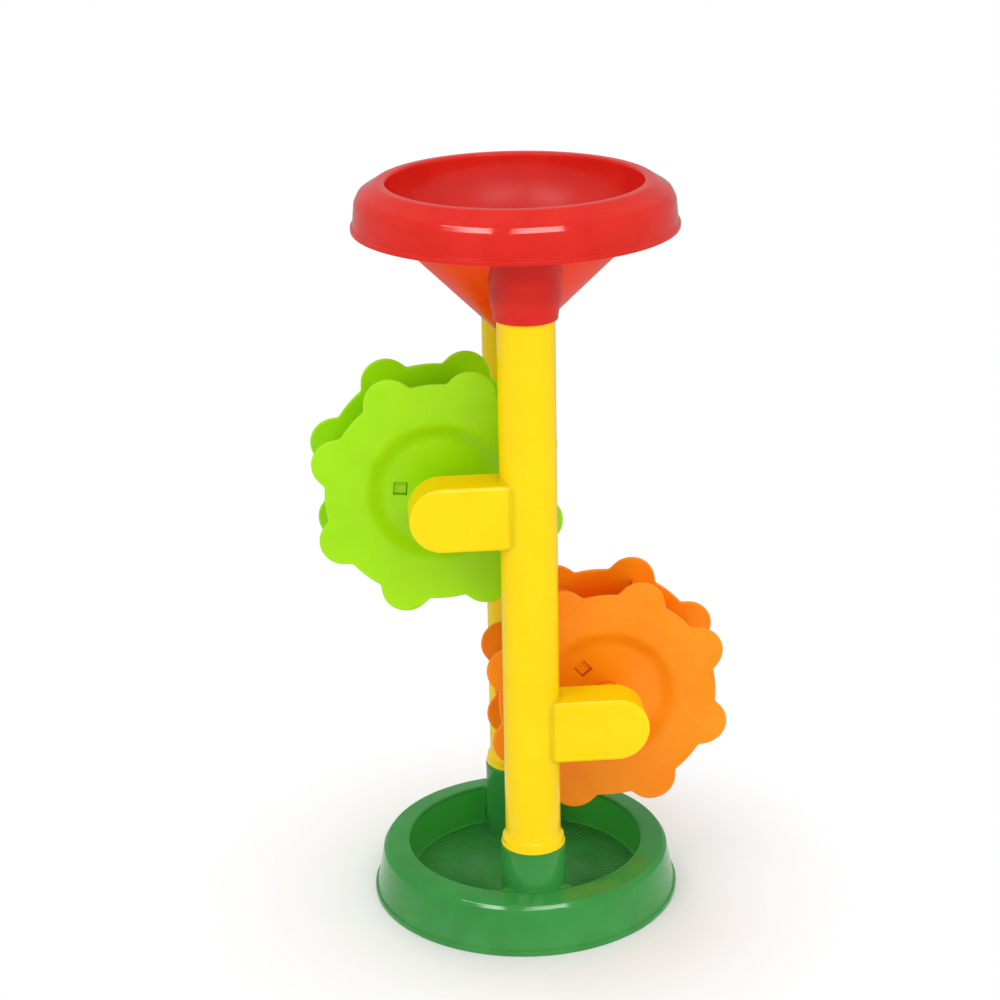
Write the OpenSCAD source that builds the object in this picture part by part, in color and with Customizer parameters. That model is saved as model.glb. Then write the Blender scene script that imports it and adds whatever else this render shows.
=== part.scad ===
// Sand wheel tower: a red hopper on two yellow columns, two paddle wheels between them
// and a green tray below. Sand runs from the spout onto the upper wheel, then the lower one.
// Millimetres. +Z is up, +X is to the right, -Y is the side of the front column.

/* [Base tray] */
// Diameter across the bottom lip
base_d = 160; // [155:1:172]
// Height of the ring's crown
base_h = 27; // [22:0.5:33]
// Diameter of the round well inside the ring
well_d = 122; // [116:1:126]
// Wall of the tray moulding
base_wall = 2.2; // [1.6:0.1:2.8]
// Underside of the well's floor above the ground
floor_lift = 3; // [1.5:0.5:6]
// Height of the post above the crown
post_rise = 21; // [16:0.5:27]
// Outer diameter of a post
post_d = 33; // [32:0.5:35]
// Number of fine radial ribs on the well's floor
rib_count = 32; // [16:16:48]

/* [Hopper] */
// Height of the whole toy
total_h = 380; // [373:1:391]
// Diameter across the hopper's lip
hopper_d = 160; // [154:1:172]
// Height of the rolled rim
rim_h = 22.5; // [19:0.5:27]
// Diameter of the bowl's mouth
mouth_d = 125; // [119:1:131]
// Wall of the hopper moulding
hopper_wall = 2; // [1.5:0.1:2.6]
// Radius of the bowl's rounded flank
bowl_round_r = 48; // [44:1:54]
// Bore of the spout
spout_bore_d = 13; // [10:0.5:15]
// Length of the straight spout
spout_len = 7; // [5:0.5:9]
// How far a column reaches into its socket
socket_depth = 17; // [12:0.5:20]
// How far the sockets' lower ends hang below the top of the hopper
socket_drop = 58; // [53:1:63]

/* [Columns] */
// Diameter of a column's tube
tube_d = 28; // [26:0.5:29]
// Wall of a column half
tube_wall = 2; // [1.6:0.1:2.4]
// Distance from the middle to a column's axis
column_y = 47; // [46:0.5:48]
// Height of the collar at a column's foot
collar_h = 6; // [4:0.5:8]
// How far the collar stands out from the tube
collar_step = 2.2; // [1.5:0.1:2.4]
// Length of the spigot in the post
spigot_len = 19; // [14:0.5:20]

/* [Arms] */
// Height of an arm, round at its end
arm_h = 32; // [29:0.5:35]
// Depth of an arm from front to back
arm_depth = 20; // [16:0.5:22]
// Height of the boss that spaces a wheel from its arm
arm_boss_reach = 8; // [6:0.5:9]
// Sideways distance of an axle from the columns
axle_dx = 42; // [41.6:0.1:44]
// Height of the upper axle
upper_axle_z = 228; // [225:0.5:231]
// Height of the lower axle
lower_axle_z = 113; // [110:0.5:116]

/* [Wheels] */
// Width of a wheel over its two discs
wheel_w = 38; // [34:0.5:42]
// Diameter of a disc between its lobes
disc_d = 112; // [109:0.5:115]
// Circle that the eight lobes are centred on
lobe_circle_d = 104.5; // [102:0.5:108]
// Diameter of a lobe
lobe_d = 25; // [22:0.5:27]
// Radius of the fillets that run a lobe into the disc
lobe_fillet_r = 3.5; // [2.5:0.5:5]
// Number of lobes, and of paddles
lobe_count = 8; // [7:1:9]
// Thickness of a disc
disc_t = 2.2; // [1.6:0.1:2.8]
// Diameter of the dished centre
dish_d = 72; // [64:1:78]
// Depth of the dished centre
dish_depth = 5; // [3:0.5:7]
// Side of the square key window in a disc
window_side = 7; // [5:0.5:8]
// Distance of the key window from the axle
window_r = 18.5; // [15:0.5:22]
// Angle of the key window past a lobe
window_turn = 14; // [8:1:20]
// Turn of the upper wheel at rest
upper_turn = 26; // [0:1:44]
// Turn of the lower wheel at rest
lower_turn = 26; // [0:1:44]
// Tip diameter of the paddles
paddle_tip_d = 106; // [98:1:108]
// Thickness of a paddle
paddle_t = 1.8; // [1.4:0.1:2.4]
// Outer diameter of a wheel's hub
hub_d = 13; // [11:0.5:15]
// Diameter of an axle
axle_d = 6; // [5:0.5:7]

/* [Fits] */
// Radial play of a wheel on its axle
running_play = 0.08; // [0.04:0.01:0.1]
// Radial play of a fixed plug in its socket
plug_play = 0.06; // [0.04:0.01:0.1]
// Sideways play of a wheel between its bosses, each side
end_play = 0.5; // [0.3:0.1:0.9]

/* [Hidden] */
$fn = 96;
yellow = "#ffdc10";
red = "#e42a1c";
green = "#3c9b41";
lime = "#96e10a";
orange = "#ff9214";

// One overrun serves all cuts
over = 1;
// Steps in the short arcs of an outline
arc_steps = 5;
// Steps in the bowl's long arc
bowl_steps = 10;
// The bowl's flank turns into a cone at this slope
cone_slope = 45;

// Base tray, worked out
base_r = base_d / 2;
well_r = well_d / 2;
base_lip_h = 2.4;
base_lip_w = 1.2;
base_shoulder_r = 4.5;
base_shoulder_inset = 4.6;
base_crown_drop = 2.6;
crown_band = 4.8;
floor_t = 2;
floor_top_z = floor_lift + floor_t;
post_top_z = base_h + post_rise;
post_bead = 0.8;
seat_t = 2.4;
pocket_wall = 3.2;
rib_w = 0.9;
rib_h = 0.6;
rib_start_r = 12;
foot_ring_r = 40;

// Columns, worked out
tube_r = tube_d / 2;
spigot_step = 1.4;
spigot_r = tube_r - spigot_step;
foot_z = post_top_z;
spigot_end_z = foot_z - spigot_len;
seat_gap = 0.3;
socket_end_z = total_h - socket_drop;
column_top_z = socket_end_z + socket_depth;
arm_r = arm_h / 2;
arm_wall = tube_wall;
axle_r = axle_d / 2;
boss_wall = 4.3;
boss_r = axle_r + boss_wall;
pin_r = 2;
pin_len = 5;
pin_boss_r = 4;
pin_shares = [0.12, 0.47, 0.84];
half_gap = 0.05;

// Hopper, worked out
hopper_r = hopper_d / 2;
mouth_r = mouth_d / 2;
hopper_lip_h = 2.2;
hopper_lip_w = 1.1;
hopper_shoulder_r = 5;
hopper_shoulder_inset = 2.6;
hopper_crown_drop = 5.8;
// The rim falls from its crown to the shoulder at this slope
rim_slope = 39;
socket_wall = 1.4;
socket_swell = 1.6;
socket_swell_h = 13;
socket_roof = 1.6;
spout_r = spout_bore_d / 2;
bowl_centre_r = mouth_r - bowl_round_r;

// Wheels, worked out
face = wheel_w / 2;
disc_r = disc_d / 2;
lobe_r = lobe_d / 2;
lobe_step = 360 / lobe_count;
lobe_centre_r = lobe_circle_d / 2;
dish_r = dish_d / 2;
dish_slope_w = 9;
dish_floor_r = dish_r - dish_slope_w;
hub_r = hub_d / 2;
hub_end = column_y - arm_depth / 2 - arm_boss_reach - end_play;
paddle_tip_r = paddle_tip_d / 2;
paddle_bow = 13;
disc_play = 0.1;
key_play = 0.25;
key_sink = 0.9;
hub_collar_step = 1.5;
collar_r = hub_r + hub_collar_step;

// Points of an arc about a centre, from one angle to another
function arc(centre, r, a0, a1, steps) =
    [for (i = [0:steps]) centre + r * [cos(a0 + (a1 - a0) * i / steps), sin(a0 + (a1 - a0) * i / steps)]];

// Top and inner line of the base ring, then the tray's underside
function base_top_line() = concat(
    [[base_r, 0], [base_r, base_lip_h], [base_r - base_lip_w, base_lip_h + base_lip_w / 2]],
    arc([base_r - base_shoulder_inset - base_shoulder_r, base_h - base_crown_drop - base_shoulder_r],
        base_shoulder_r, 8, 74, arc_steps),
    [[well_r + crown_band, base_h], [well_r + base_wall / 2, base_h]],
    arc([well_r + base_wall / 2, base_h - base_wall / 2], base_wall / 2, 110, 180, arc_steps),
    [[well_r, floor_top_z], [0, floor_top_z]]);

function base_under_line() = [[0, floor_lift], [well_r + base_wall, floor_lift],
    [well_r + base_wall, base_h - base_wall], [well_r + crown_band, base_h - base_wall],
    [base_r - base_shoulder_inset - base_shoulder_r, base_h - base_crown_drop - base_wall],
    [base_r - base_shoulder_inset - base_wall, base_h - base_crown_drop - base_shoulder_r],
    [base_r - base_lip_w - base_wall, 0]];

module base_tray() {
    color(green) {
        difference() {
            union() {
                rotate_extrude() polygon(concat(base_top_line(), base_under_line()));
                floor_ribs();
                foot_ring();
                for (side = [-1, 1])
                    translate([0, side * column_y, floor_lift])
                        cylinder(r = post_d / 2, h = post_top_z - floor_lift);
            }
            for (side = [-1, 1])
                translate([0, side * column_y, 0]) post_bores();
        }
    }
}

// Bore for the spigot from above and a relief pocket from below, with the seat between
module post_bores() {
    translate([0, 0, spigot_end_z - seat_gap])
        cylinder(r = spigot_r + plug_play, h = spigot_len + seat_gap + over);
    translate([0, 0, -over])
        cylinder(r = post_d / 2 - pocket_wall, h = spigot_end_z - seat_gap - seat_t + over);
}

module floor_ribs() {
    for (i = [0:rib_count - 1])
        rotate([0, 0, i * 360 / rib_count])
            translate([rib_start_r, -rib_w / 2, floor_top_z - rib_h])
                cube([well_r - rib_start_r + base_wall / 2, rib_w, 2 * rib_h]);
}

// Ring under the floor that carries it to the ground
module foot_ring() {
    difference() {
        cylinder(r = foot_ring_r / 2 + base_wall, h = floor_lift + floor_t / 2);
        translate([0, 0, -over]) cylinder(r = foot_ring_r / 2, h = floor_lift + floor_t + 2 * over);
    }
}

// Outline of one arm seen from the front, reaching to -X
module arm_outline(grow) {
    translate([-axle_dx, 0]) circle(r = arm_r + grow);
    translate([-axle_dx, -arm_r - grow]) square([axle_dx, arm_h + 2 * grow]);
}

// Arm block about the column's axis: outer skin when grow is 0, its hollow when grow is -wall
module arm_block(grow) {
    rotate([90, 0, 0])
        translate([0, 0, -arm_depth / 2 - grow])
            linear_extrude(arm_depth + 2 * grow) arm_outline(grow);
}

// Both arms at their heights, the upper to -X and the lower to +X
module arms(grow) {
    translate([0, 0, upper_axle_z]) arm_block(grow);
    translate([0, 0, lower_axle_z]) mirror([1, 0, 0]) arm_block(grow);
}

module column_skin() {
    translate([0, 0, foot_z]) cylinder(r = tube_r, h = column_top_z - foot_z);
    translate([0, 0, foot_z]) cylinder(r = tube_r + collar_step, h = collar_h - collar_step / 2);
    translate([0, 0, foot_z + collar_h - collar_step / 2])
        cylinder(r1 = tube_r + collar_step, r2 = tube_r + collar_step / 2, h = collar_step / 2);
    translate([0, 0, spigot_end_z]) cylinder(r = spigot_r, h = spigot_len + over);
    arms(0);
}

module column_hollow() {
    translate([0, 0, foot_z]) cylinder(r = tube_r - tube_wall, h = column_top_z - foot_z - tube_wall);
    translate([0, 0, spigot_end_z + tube_wall])
        cylinder(r = spigot_r - tube_wall, h = spigot_len + over);
    arms(-arm_wall);
}

// Upright places of the pins that join the two halves
function pin_z(share) = foot_z + share * (column_top_z - foot_z);

// A bar along Y from y0 to y1 at a place in the column
module bar(x, z, r, y0, y1) {
    translate([x, y1, z]) rotate([90, 0, 0]) cylinder(r = r, h = y1 - y0);
}

// Axle places of a column as [x, z]
axle_places = [[-axle_dx, upper_axle_z], [axle_dx, lower_axle_z]];

// Half of the space, on the outer side (-Y) or the inner side (+Y) of the parting plane
module half_space(side) {
    reach = axle_dx + arm_h;
    translate([-reach, side > 0 ? half_gap / 2 : -reach - half_gap / 2, 0])
        cube([2 * reach, reach, total_h]);
}

// Outer half of the front column, about the column's axis
module outer_half() {
    difference() {
        intersection() {
            column_skin();
            half_space(-1);
        }
        column_hollow();
    }
    for (share = pin_shares) {
        bar(0, pin_z(share), pin_boss_r, -tube_r + tube_wall / 2, -half_gap / 2);
        bar(0, pin_z(share), pin_r, -tube_wall, pin_len);
    }
    for (place = axle_places)
        bar(place[0], place[1], boss_r, -arm_depth / 2 + arm_wall / 2, -half_gap / 2);
}

// Inner half of the front column, with its pin sockets and axle bosses
module inner_half() {
    difference() {
        union() {
            difference() {
                intersection() {
                    column_skin();
                    half_space(1);
                }
                column_hollow();
            }
            for (share = pin_shares)
                bar(0, pin_z(share), pin_boss_r, half_gap / 2, tube_r - tube_wall / 2);
            for (place = axle_places)
                bar(place[0], place[1], boss_r, half_gap / 2, arm_depth / 2 + arm_boss_reach);
        }
        for (share = pin_shares)
            bar(0, pin_z(share), pin_r + plug_play, -over, pin_len + seat_gap);
        for (place = axle_places)
            bar(place[0], place[1], axle_r + plug_play, -over, arm_depth / 2 + arm_boss_reach + over);
    }
}

module column_front_outer() {
    color(yellow) translate([0, -column_y, 0]) outer_half();
}
module column_front_inner() {
    color(yellow) translate([0, -column_y, 0]) inner_half();
}
module column_back_outer() {
    color(yellow) mirror([0, 1, 0]) translate([0, -column_y, 0]) outer_half();
}
module column_back_inner() {
    color(yellow) mirror([0, 1, 0]) translate([0, -column_y, 0]) inner_half();
}

// Line of the bowl at a distance outside its inner face, from the mouth down to a spout radius
function bowl_line(out, end_r) = concat(
    arc([bowl_centre_r, total_h], bowl_round_r + out, 0, -cone_slope, bowl_steps),
    [[end_r, total_h - (bowl_round_r + out) * sin(cone_slope)
        - (bowl_centre_r + (bowl_round_r + out) * cos(cone_slope) - end_r) * tan(cone_slope)]]);

spout_end_z = bowl_line(0, spout_r)[bowl_steps + 1][1] - spout_len;
skirt_z = total_h - rim_h;
crown_under_z = total_h - hopper_wall;
hopper_shoulder_centre = [hopper_r - hopper_shoulder_inset - hopper_shoulder_r,
    total_h - hopper_crown_drop - hopper_shoulder_r];

// Outside of the rim from the lip up, over the crown and down the bowl's inner face
function hopper_top_line() = concat(
    [[hopper_r, skirt_z], [hopper_r, skirt_z + hopper_lip_h],
     [hopper_r - hopper_lip_w, skirt_z + hopper_lip_h + hopper_lip_w / 2]],
    arc(hopper_shoulder_centre, hopper_shoulder_r, 6, 90 - rim_slope, arc_steps),
    [[mouth_r + crown_band, total_h]],
    arc([mouth_r + hopper_wall / 2, total_h - hopper_wall / 2], hopper_wall / 2, 90, 180, arc_steps),
    [for (i = [1:bowl_steps + 1]) bowl_line(0, spout_r)[i]],
    [[spout_r, spout_end_z]]);

function hopper_under_line() = concat(
    [[spout_r + hopper_wall, spout_end_z]],
    [for (i = [bowl_steps + 1:-1:1]) bowl_line(hopper_wall, spout_r + hopper_wall)[i]],
    [[mouth_r + hopper_wall, crown_under_z], [mouth_r + crown_band, crown_under_z],
     hopper_shoulder_centre + (hopper_shoulder_r - hopper_wall) * [sin(rim_slope), cos(rim_slope)],
     hopper_shoulder_centre + (hopper_shoulder_r - hopper_wall) * [1, 0],
     [hopper_r - hopper_lip_w - hopper_wall, skirt_z]]);

socket_bore_r = tube_r + plug_play;
socket_r = socket_bore_r + socket_wall;
socket_top_z = column_top_z + seat_gap + socket_roof;

module hopper_bowl() {
    color(red) {
        difference() {
            union() {
                rotate_extrude() polygon(concat(hopper_top_line(), hopper_under_line()));
                for (side = [-1, 1]) translate([0, side * column_y, column_top_z])
                    cylinder(r = socket_r + socket_swell / 2, h = socket_top_z - column_top_z);
            }
            for (side = [-1, 1]) translate([0, side * column_y, 0]) socket_bore(column_top_z + seat_gap);
        }
        difference() {
            for (side = [-1, 1]) translate([0, side * column_y, 0]) socket_shell();
            for (side = [-1, 1]) translate([0, side * column_y, 0]) socket_bore(total_h);
            bowl_space();
        }
    }
}

module socket_bore(top_z) {
    translate([0, 0, socket_end_z - over])
        cylinder(r = socket_bore_r, h = top_z - socket_end_z + over);
}

// Socket that swells a little towards the bowl and runs up to the underside of the crown
module socket_shell() {
    translate([0, 0, socket_end_z])
        cylinder(r1 = socket_r, r2 = socket_r + socket_swell, h = socket_swell_h);
    translate([0, 0, socket_end_z + socket_swell_h])
        cylinder(r = socket_r + socket_swell, h = crown_under_z + hopper_wall / 2 - socket_end_z - socket_swell_h);
}

// Inside of the bowl above the sockets' roofs, which the sockets stay out of
module bowl_space() {
    intersection() {
        rotate_extrude() polygon(concat(
            [[0, total_h + over], [mouth_r + hopper_wall / 2, total_h + over]],
            bowl_line(hopper_wall / 2, spout_r), [[0, spout_end_z]]));
        translate([0, 0, socket_top_z]) cylinder(r = hopper_r, h = total_h);
    }
}

// Axles, fixed in the bosses of the two inner halves
module axle_at(place) {
    end = column_y - half_gap - disc_play;
    bar(place[0], place[1], axle_r, -end, end);
}
module upper_axle() {
    color("white") axle_at(axle_places[0]);
}
module lower_axle() {
    color("white") axle_at(axle_places[1]);
}

// Lobed outline of a disc: a circle with a round lobe at each paddle, run into it by fillets
module disc_outline() {
    from_middle = disc_r + lobe_fillet_r;
    turn = acos((pow(from_middle, 2) + pow(lobe_centre_r, 2) - pow(lobe_r + lobe_fillet_r, 2))
        / (2 * from_middle * lobe_centre_r));
    circle(r = disc_r);
    for (i = [0:lobe_count - 1]) rotate(i * lobe_step) {
        translate([lobe_centre_r, 0]) circle(r = lobe_r);
        for (side = [-1, 1]) lobe_fillet(from_middle * cos(turn), side * from_middle * sin(turn));
    }
}

// Corner between a lobe and the disc, filled up to the fillet's circle
module lobe_fillet(x, y) {
    difference() {
        polygon([[0, 0], [lobe_centre_r, 0], [x, y]]);
        translate([x, y]) circle(r = lobe_fillet_r);
    }
}

function dish_line(drop) = [
    [dish_floor_r, face - dish_depth - drop],
    [dish_r - dish_slope_w / 3, face - dish_depth / 4 - drop],
    [dish_r, face - drop]];

// One disc in the wheel's own frame, its outer face towards +Z
module disc(key_angle) {
    difference() {
        union() {
            difference() {
                translate([0, 0, face - disc_t]) linear_extrude(disc_t) disc_outline();
                translate([0, 0, face - disc_t - over])
                    cylinder(r = dish_r + disc_t / 2, h = disc_t + 2 * over);
            }
            rotate_extrude() polygon(concat(
                [[0, face - dish_depth]], dish_line(0), [[dish_r + disc_t, face]],
                [[dish_r + disc_t, face - disc_t]],
                [for (i = [2:-1:0]) dish_line(disc_t)[i]], [[0, face - dish_depth - disc_t]]));
        }
        translate([0, 0, face - dish_depth - disc_t - over])
            cylinder(r = hub_r + plug_play, h = disc_t + 2 * over);
        rotate([0, 0, key_angle])
            translate([window_r - window_side / 2, -window_side / 2, face - dish_depth - disc_t - over])
                cube([window_side, window_side, disc_t + 2 * over]);
    }
}

// Space between the two discs that the paddles fill
module disc_gap_space() {
    top = face - disc_t - disc_play;
    low = face - dish_depth - disc_t - disc_play;
    rotate_extrude() polygon([[0, -low], [dish_floor_r, -low], [dish_r - dish_slope_w / 3, -top + dish_depth / 4],
        [dish_r, -top], [paddle_tip_r, -top], [paddle_tip_r, top], [dish_r, top],
        [dish_r - dish_slope_w / 3, top - dish_depth / 4], [dish_floor_r, low], [0, low]]);
}

// One bowed paddle seen along the axle: a stretch of a ring from the hub to the tip
module paddle_outline() {
    chord = paddle_tip_r;
    bow_r = (chord * chord / 4 + paddle_bow * paddle_bow) / (2 * paddle_bow);
    intersection() {
        translate([chord / 2, bow_r - paddle_bow]) difference() {
            circle(r = bow_r + paddle_t / 2);
            circle(r = bow_r - paddle_t / 2);
        }
        translate([0, -paddle_bow - paddle_t]) square([paddle_tip_r + over, paddle_bow + 2 * paddle_t]);
    }
}

// Hub with its paddles and two square keys, in the wheel's own frame
module paddles(key_angle) {
    difference() {
        union() {
            intersection() {
                translate([0, 0, -face]) linear_extrude(wheel_w) difference() {
                    for (i = [0:lobe_count - 1]) rotate(i * lobe_step) paddle_outline();
                    circle(r = (axle_r + hub_r) / 2);
                }
                disc_gap_space();
            }
            translate([0, 0, -hub_end]) cylinder(r = hub_r, h = 2 * hub_end);
            translate([0, 0, -face + dish_depth + disc_t + disc_play])
                cylinder(r = collar_r, h = 2 * (face - dish_depth - disc_t - disc_play));
            for (side = [0, 1])
                mirror([0, 0, side]) rotate([0, 0, key_angle + side * 180]) key_peg();
        }
        translate([0, 0, -hub_end - over]) cylinder(r = axle_r + running_play, h = 2 * (hub_end + over));
    }
}

// Square key that fills a disc's window, standing on the paddle that passes behind it
module key_peg() {
    side = window_side - 2 * key_play;
    translate([window_r - side / 2, -side / 2, 0]) cube([side, side, face - dish_depth - key_sink]);
}

// A wheel's own frame set on its axle, its front disc towards -Y
module on_axle(place, turn) {
    translate([place[0], 0, place[1]]) rotate([90, 0, 0]) rotate([0, 0, turn]) children();
}

module back_side() {
    mirror([0, 0, 1]) children();
}

module upper_wheel_paddles() {
    color(lime) on_axle(axle_places[0], upper_turn) paddles(window_turn + 3 * lobe_step);
}
module upper_wheel_front_disc() {
    color(lime) on_axle(axle_places[0], upper_turn) disc(window_turn + 3 * lobe_step);
}
module upper_wheel_back_disc() {
    color(lime) on_axle(axle_places[0], upper_turn) back_side() disc(window_turn + 3 * lobe_step + 180);
}
module lower_wheel_paddles() {
    color(orange) on_axle(axle_places[1], lower_turn) paddles(window_turn + 2 * lobe_step);
}
module lower_wheel_front_disc() {
    color(orange) on_axle(axle_places[1], lower_turn) disc(window_turn + 2 * lobe_step);
}
module lower_wheel_back_disc() {
    color(orange) on_axle(axle_places[1], lower_turn) back_side() disc(window_turn + 2 * lobe_step + 180);
}

base_tray();
column_front_outer();
column_front_inner();
column_back_outer();
column_back_inner();
hopper_bowl();
upper_axle();
lower_axle();
upper_wheel_paddles();
upper_wheel_front_disc();
upper_wheel_back_disc();
lower_wheel_paddles();
lower_wheel_front_disc();
lower_wheel_back_disc();
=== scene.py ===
import math
import bmesh
import bpy
from mathutils import Matrix, Vector


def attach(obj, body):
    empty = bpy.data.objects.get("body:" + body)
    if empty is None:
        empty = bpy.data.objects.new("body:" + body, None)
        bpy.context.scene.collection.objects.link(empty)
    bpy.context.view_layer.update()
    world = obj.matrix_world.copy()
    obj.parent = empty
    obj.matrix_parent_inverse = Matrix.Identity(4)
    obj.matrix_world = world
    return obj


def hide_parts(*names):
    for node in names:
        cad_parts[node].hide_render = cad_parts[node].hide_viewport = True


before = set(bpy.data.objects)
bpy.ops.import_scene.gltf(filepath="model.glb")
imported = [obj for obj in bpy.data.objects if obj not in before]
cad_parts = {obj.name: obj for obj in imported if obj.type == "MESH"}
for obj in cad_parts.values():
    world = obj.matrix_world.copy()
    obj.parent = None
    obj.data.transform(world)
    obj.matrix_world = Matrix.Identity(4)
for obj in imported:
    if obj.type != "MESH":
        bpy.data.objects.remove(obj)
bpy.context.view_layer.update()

# Sand wheel tower: green tray, two yellow columns, red hopper, lime and orange wheels.
# Sizes in the pieces' dictionaries are millimetres; lamps, shading and trees are in metres.
mm = 0.001
hair = 0.02  # millimetres by which the shells of one piece overlap
axles = {"upper": (-42, 228), "lower": (42, 113)}  # x and z of each wheel's axle


# Node wiring, for materials and Geometry Nodes alike

class Wire:  # one output socket, with plain arithmetic
    def __init__(self, graph, socket):
        self.graph = graph
        self.socket = socket

    def math(self, operation, *others):
        node = self.graph.make("ShaderNodeMath", {"operation": operation}, self, *others)
        return self.graph.out(node)

    def __add__(self, other):
        return self.math("ADD", other)

    def __sub__(self, other):
        return self.math("SUBTRACT", other)

    def __rsub__(self, other):
        return (self * -1).math("ADD", other)

    def __mul__(self, other):
        return self.math("MULTIPLY", other)

    def __truediv__(self, other):
        return self.math("DIVIDE", other)

    def __rtruediv__(self, other):
        return self.math("POWER", -1.0) * other


class Graph:  # a node tree that is filled by script
    def __init__(self, tree):
        self.tree = tree

    def feed(self, socket, value):
        if isinstance(value, Wire):
            self.tree.links.new(value.socket, socket)
        else:
            socket.default_value = value

    def make(self, kind, settings=None, *values, **named):
        node = self.tree.nodes.new(kind)
        for key, value in (settings or {}).items():
            setattr(node, key, value)
        for socket, value in zip(node.inputs, values):
            self.feed(socket, value)
        for key, value in named.items():
            self.feed(node.inputs[key], value)
        return node

    def out(self, node, name=0):
        return Wire(self, node.outputs[name])

    def blend(self, factor, *colours):  # two colours through a Mix node
        node = self.make("ShaderNodeMix", {"data_type": "RGBA"}, factor)
        for socket, colour in zip((node.inputs[6], node.inputs[7]), colours):
            self.feed(socket, colour if isinstance(colour, Wire) else (*colour, 1.0))
        return Wire(self, node.outputs[2])

    def span(self, value, low, high, start=0.0, end=1.0, kind="SMOOTHSTEP"):
        node = self.make("ShaderNodeMapRange", {"interpolation_type": kind},
                         value, low, high, start, end)
        return self.out(node)

    def fade(self, value, edges, start=1.0):  # falls to nothing between two edges
        return self.span(value, *edges, start, 0.0)

    def noise(self, place, scale, detail=2.0, roughness=0.5, distortion=0.0):
        node = self.make("ShaderNodeTexNoise", Vector=place, Scale=scale, Detail=detail,
                         Roughness=roughness, Distortion=distortion)
        return self.out(node, "Fac")

    def axes(self, place):
        split = self.make("ShaderNodeSeparateXYZ", {}, place)
        return [self.out(split, axis) for axis in ("X", "Y", "Z")]

    def combined(self, x, y, z):
        return self.out(self.make("ShaderNodeCombineXYZ", {}, x, y, z))


def blankGraph(owner):  # of a material or the world
    owner.use_nodes = True
    g = Graph(owner.node_tree)
    g.tree.nodes.clear()
    return g


# Moulded plastic

plasticFinish = {
    "mottle": 38.0,          # waves of the flow marks, per metre
    "cloudShare": 0.23,      # wider waves, as a share of mottle
    "mottleEdges": (0.32, 0.68),
    "mark": 1260.0,          # rubbed marks, long and thin, per metre
    "markStretch": (1.0, 1.0, 0.12),
    "markTurn": (0.5, 0.35, 0.8),
    "markEdges": (0.63, 0.72),
    "patch": 36.0,           # where the marks are, per metre
    "patchEdges": (0.5, 0.66),
    "speck": 630.0,
    "speckEdges": (0.74, 0.8),
    "wornEdges": (0.53, 0.62),
    "wear": 0.1,             # how far the marks, specks and edges pale
    "peel": 620.0,           # orange peel, per metre
    "peelDepth": 0.00001,
    "peelStrength": 0.35,
    "rough": 0.27,
    "roughSpread": 0.09,
    "rubbedRough": 0.05,
    "ior": 1.47,
    "shine": 0.3,
    "glow": 0.16,            # light that passes through the wall
    "glowDepth": 0.004,
}


def mouldedPlastic(name, colour, deep, pale, paintedLight=None, dull=None, **changes):
    s = {**plasticFinish, **changes}
    material = bpy.data.materials.new(name)
    g = blankGraph(material)
    place = g.out(g.make("ShaderNodeTexCoord"), "Object")
    flow = g.noise(place, s["mottle"], 3.0, 0.55, 0.6)
    clouds = g.noise(place, s["mottle"] * s["cloudShare"], 2.0, 0.5, 0.2)
    body = g.blend(g.span(flow * 0.6 + clouds * 0.4, *s["mottleEdges"]), deep, colour)
    # painted light: glow and shade laid into the base colour
    if paintedLight:
        body = paintedLight(g, place, body)
    # rubbed marks: long thin noise, only where a wide noise lets them
    stretched = g.make("ShaderNodeMapping", Vector=place,
                       Scale=s["markStretch"], Rotation=s["markTurn"])
    fine = g.noise(g.out(stretched), s["mark"], 2.0, 0.6, 0.4)
    patches = g.span(g.noise(place, s["patch"]), *s["patchEdges"])
    rubbed = g.span(fine, *s["markEdges"]) * patches
    specks = g.span(g.noise(place, s["speck"], 1.0), *s["speckEdges"])
    pointiness = g.out(g.make("ShaderNodeNewGeometry"), "Pointiness")
    worn = rubbed * 0.16 + specks * 0.105 + g.span(pointiness, *s["wornEdges"]) * 0.3
    body = g.blend(worn * s["wear"], body, pale)
    half = s["roughSpread"] / 2
    rough = g.span(flow, 0.3, 0.7, s["rough"] - half, s["rough"] + half, "LINEAR")
    rough = rough + rubbed * s["rubbedRough"]
    if dull:
        rough = rough + dull(g, place)
    peel = g.noise(place, s["peel"], 1.0, 0.4) + fine * 0.25
    bump = g.make("ShaderNodeBump", Height=peel, Strength=s["peelStrength"],
                  Distance=s["peelDepth"])
    shader = g.make("ShaderNodeBsdfPrincipled", {"subsurface_method": "RANDOM_WALK"}, **{
        "Base Color": body, "Roughness": rough, "Normal": g.out(bump),
        "IOR": s["ior"], "Specular IOR Level": s["shine"],
        "Subsurface Weight": s["glow"], "Subsurface Scale": s["glowDepth"],
        "Subsurface Radius": tuple(0.1 + 0.9 * c for c in colour),
    })
    g.make("ShaderNodeOutputMaterial", Surface=g.out(shader))
    return material


shading = {  # radii about an upright axis or an axle, and heights, between which a look changes
    "bowlR": (0.0595, 0.0625), "bowlZ": (0.30, 0.345), "bowlRough": 0.26,
    "wellR": (0.0595, 0.0612), "wellZ": (0.006, 0.012), "wellRough": 0.36,
    # the wall keys and the funnel's colour set painted glow; the disc and dish keys set where shade
    # is painted between a wheel's discs
    "wallIn": (0.0602, 0.0607), "wallOut": (0.0614, 0.0619), "wallTop": (0.0245, 0.0262),
    "wallShare": 0.8, "wallPaintedGlow": (0.07, 0.56, 0.07), "funnelPaintedGlow": (0.93, 0.04, 0.002),
    "discY": (0.0166, 0.0172), "dishR": (0.0365, 0.038), "discR": (0.042, 0.057), "discShare": 0.85,
}


def heightAndRadius(g, place):
    x, y, z = g.axes(place)
    return z, (x * x + y * y).math("SQRT")


def hopperDull(g, place):
    # the bowl is rubbed by the sand
    height, radius = heightAndRadius(g, place)
    rubbed = g.fade(radius, shading["bowlR"], shading["bowlRough"])
    return rubbed * g.span(height, *shading["bowlZ"])


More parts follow.
